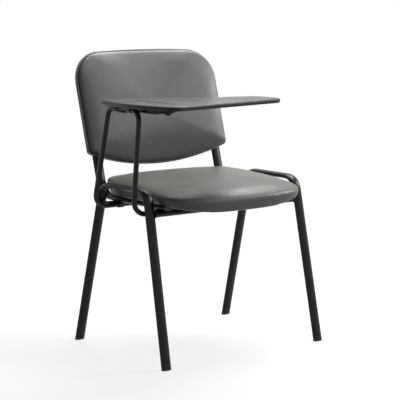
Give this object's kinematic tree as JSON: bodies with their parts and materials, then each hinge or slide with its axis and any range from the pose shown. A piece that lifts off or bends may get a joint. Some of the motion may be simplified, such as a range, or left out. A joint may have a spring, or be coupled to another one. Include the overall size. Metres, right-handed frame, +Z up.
{
  "type": "tablet arm chair",
  "caption": "Stacking conference chair on oval steel tube, with a padded vinyl seat and back and a writing tablet that folds up beside the sitter's right arm.",
  "frame": {"origin": "on the floor, on the chair's middle plane, midway between the front and rear feet", "axes": "+Z up, the sitter faces -Y, +X is the sitter's left"},
  "size_m": [0.6202, 0.6177, 0.8176],
  "materials": {
    "frame_coat": "satin",
    "vinyl_cushion": "satin",
    "vinyl_shell": "satin",
    "plywood": "matte",
    "tablet_board": "satin",
    "black_plastic": "satin",
    "rubber": "matte",
    "zinc_steel": "satin"
  },
  "bodies": {
    "chair": {"arm_clamp_front_left": "frame_coat", "arm_clamp_front_right": "frame_coat", "arm_clamp_rear_left": "frame_coat", "arm_clamp_rear_right": "frame_coat", "arm_end_cap_front": "black_plastic", "arm_end_cap_rear": "black_plastic", "back_board": "plywood", "back_cover": "vinyl_shell", "back_pad": "vinyl_cushion", "back_screws": "zinc_steel", "back_upright_left": "frame_coat", "back_upright_right": "frame_coat", "clamp_screws": "zinc_steel", "front_cross_bar": "frame_coat", "glide_front_left": "black_plastic", "glide_front_right": "black_plastic", "glide_rear_left": "black_plastic", "glide_rear_right": "black_plastic", "rear_cross_bar": "frame_coat", "seat_board": "plywood", "seat_pad": "vinyl_cushion", "seat_screws": "zinc_steel", "side_frame_left": "frame_coat", "side_frame_right": "frame_coat", "stop_bumper_front": "rubber", "stop_bumper_rear": "rubber", "stop_plate": "frame_coat", "tablet_arm": "frame_coat", "upright_plug_left": "black_plastic", "upright_plug_right": "black_plastic"},
    "tablet": {"tablet_panel": "tablet_board", "hinge_strap_front": "frame_coat", "hinge_strap_rear": "frame_coat", "hinge_screws": "zinc_steel"}
  },
  "joints": [
    {"name": "tablet_fold", "type": "hinge", "parent": "chair", "child": "tablet", "pos_m": [-0.298, -0.0665, 0.6805], "axis": [0, -1, 0], "range_deg": [0, 90]}
  ]
}
